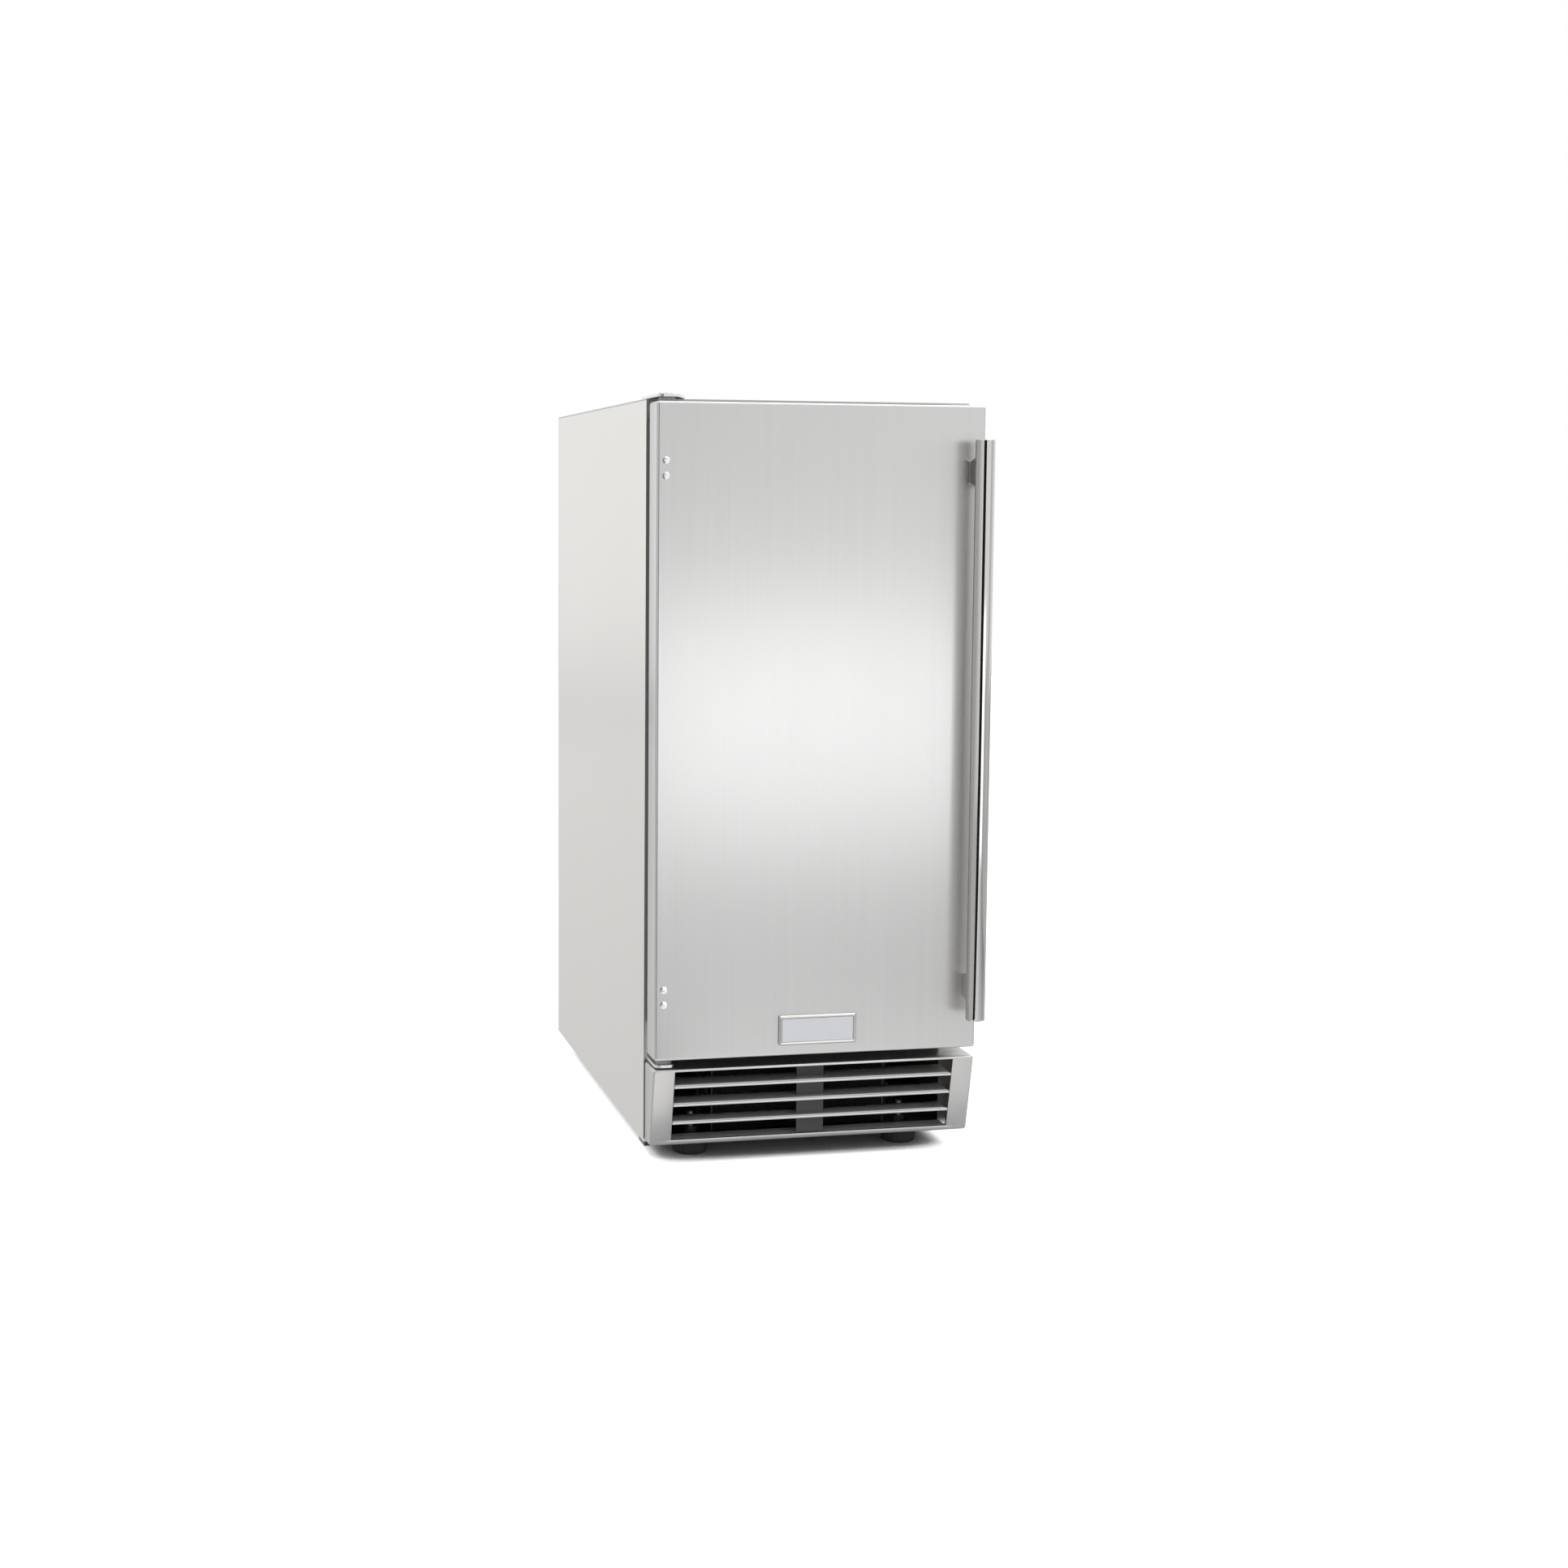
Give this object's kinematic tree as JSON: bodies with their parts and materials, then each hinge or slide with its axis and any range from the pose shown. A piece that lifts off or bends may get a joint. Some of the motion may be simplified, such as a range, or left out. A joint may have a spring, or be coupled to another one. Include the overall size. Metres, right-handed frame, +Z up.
{
  "type": "outdoor ice maker",
  "caption": "Slim stainless undercounter outdoor ice maker with a hinged door, a tubular pull handle, a louvred kick grille, an insulated ice bin and a refrigeration unit below it.",
  "frame": {"origin": "on the floor, under the middle of the whole object's box", "axes": "+Z up, the door faces -Y, +X to the right as seen from the front"},
  "size_m": [0.378, 0.6798, 0.8718],
  "materials": {
    "brushed_stainless": "brushed stainless sheet",
    "door_stainless": "stainless sheet with an upright brushed grain",
    "polished_stainless": "finely polished stainless",
    "zinc_plate": "zinc plated",
    "galvanised_sheet": "galvanised sheet",
    "black_enamel": "black enamel",
    "black_plastic": "black moulded plastic",
    "grey_plastic": "grey moulded plastic",
    "white_plastic": "white moulded plastic",
    "frosted_plastic": "frosted plastic",
    "clear_hose": "translucent hose",
    "black_rubber": "black rubber",
    "seal_rubber": "dark seal",
    "copper": "bare copper",
    "nickel_plate": "nickel plated copper",
    "aluminium_fins": "bare aluminium fins",
    "brass": "turned brass",
    "foam": "rigid foam"
  },
  "bodies": {
    "cabinet": {"left_side_panel": "brushed_stainless", "right_side_panel": "brushed_stainless", "top_panel": "brushed_stainless", "rear_panel": "brushed_stainless", "rear_service_cover": "galvanised_sheet", "base_pan": "black_enamel", "front_frame": "black_plastic", "inner_liner": "white_plastic", "insulation_foam": "foam", "ice_baffle": "frosted_plastic", "evaporator_plate": "nickel_plate", "evaporator_coil": "copper", "water_distributor": "white_plastic", "water_trough": "white_plastic", "pump_motor": "grey_plastic", "pump_hose": "clear_hose", "control_housing": "black_plastic", "bin_sensor": "copper", "drain_fitting": "grey_plastic", "drain_hose": "clear_hose", "compressor": "black_enamel", "condenser_coil": "aluminium_fins", "fan_shroud": "black_plastic", "fan_motor": "zinc_plate", "filter_drier": "copper", "discharge_tube": "copper", "feed_tube": "copper", "suction_tube": "copper", "hot_gas_valve": "brass", "water_inlet_valve": "grey_plastic", "inlet_tube": "white_plastic", "electrical_box": "galvanised_sheet", "cord_gland": "black_plastic", "kick_grille": "brushed_stainless", "grille_louvres": "brushed_stainless", "top_hinge_plate": "polished_stainless", "bottom_hinge_bracket": "polished_stainless", "top_hinge_pin": "zinc_plate"},
    "door": {"door_skin": "door_stainless", "door_foam": "foam", "door_liner": "white_plastic", "door_gasket": "seal_rubber", "handle_bar": "polished_stainless", "upper_handle_bracket": "polished_stainless", "lower_handle_bracket": "polished_stainless", "top_hinge_bush": "grey_plastic", "bottom_hinge_bush": "grey_plastic", "upper_hinge_screws": "polished_stainless", "lower_hinge_screws": "polished_stainless", "badge_plaque": "polished_stainless"},
    "condenser_fan": {"fan_blade": "black_plastic"},
    "pump_rotor": {"pump_impeller": "black_plastic"},
    "curtain": {"water_curtain": "white_plastic"},
    "power_switch": {"power_button": "grey_plastic"},
    "clean_switch": {"clean_button": "grey_plastic"},
    "scoop": {"ice_scoop": "frosted_plastic"},
    "front_left_foot": {"foot_front_left": "black_rubber"},
    "front_right_foot": {"foot_front_right": "black_rubber"},
    "rear_left_foot": {"foot_rear_left": "black_rubber"},
    "rear_right_foot": {"foot_rear_right": "black_rubber"}
  },
  "joints": [
    {"name": "door_hinge", "type": "hinge", "parent": "cabinet", "child": "door", "pos_m": [-0.174, -0.27985, 0.4954], "axis": [0, 0, -1], "range_deg": [0, 110]},
    {"name": "fan_spin", "type": "hinge", "parent": "cabinet", "child": "condenser_fan", "pos_m": [0, -0.16085, 0.0818], "axis": [0, 1, 0], "continuous": true},
    {"name": "pump_spin", "type": "hinge", "parent": "cabinet", "child": "pump_rotor", "pos_m": [0.12, 0.26693, 0.5275], "axis": [0, 0, 1], "continuous": true},
    {"name": "curtain_swing", "type": "hinge", "parent": "cabinet", "child": "curtain", "pos_m": [-0.03, 0.24205, 0.7678], "axis": [-1, 0, 0], "range_deg": [0, 30]},
    {"name": "power_button_press", "type": "slide", "parent": "cabinet", "child": "power_switch", "axis": [0, 1, 0], "range_m": [0, 0.0015], "stiffness_N_per_m": 400, "springref_m": -0.0005},
    {"name": "clean_button_press", "type": "slide", "parent": "cabinet", "child": "clean_switch", "axis": [0, 1, 0], "range_m": [0, 0.0015], "stiffness_N_per_m": 400, "springref_m": -0.0005},
    {"name": "scoop_lift", "type": "slide", "parent": "cabinet", "child": "scoop", "axis": [0, 0, 1], "range_m": [0, 0.12]},
    {"name": "front_left_foot_level", "type": "slide", "parent": "cabinet", "child": "front_left_foot", "axis": [0, 0, -1], "range_m": [0, 0.015]},
    {"name": "front_right_foot_level", "type": "slide", "parent": "cabinet", "child": "front_right_foot", "axis": [0, 0, -1], "range_m": [0, 0.015]},
    {"name": "rear_left_foot_level", "type": "slide", "parent": "cabinet", "child": "rear_left_foot", "axis": [0, 0, -1], "range_m": [0, 0.015]},
    {"name": "rear_right_foot_level", "type": "slide", "parent": "cabinet", "child": "rear_right_foot", "axis": [0, 0, -1], "range_m": [0, 0.015]}
  ]
}
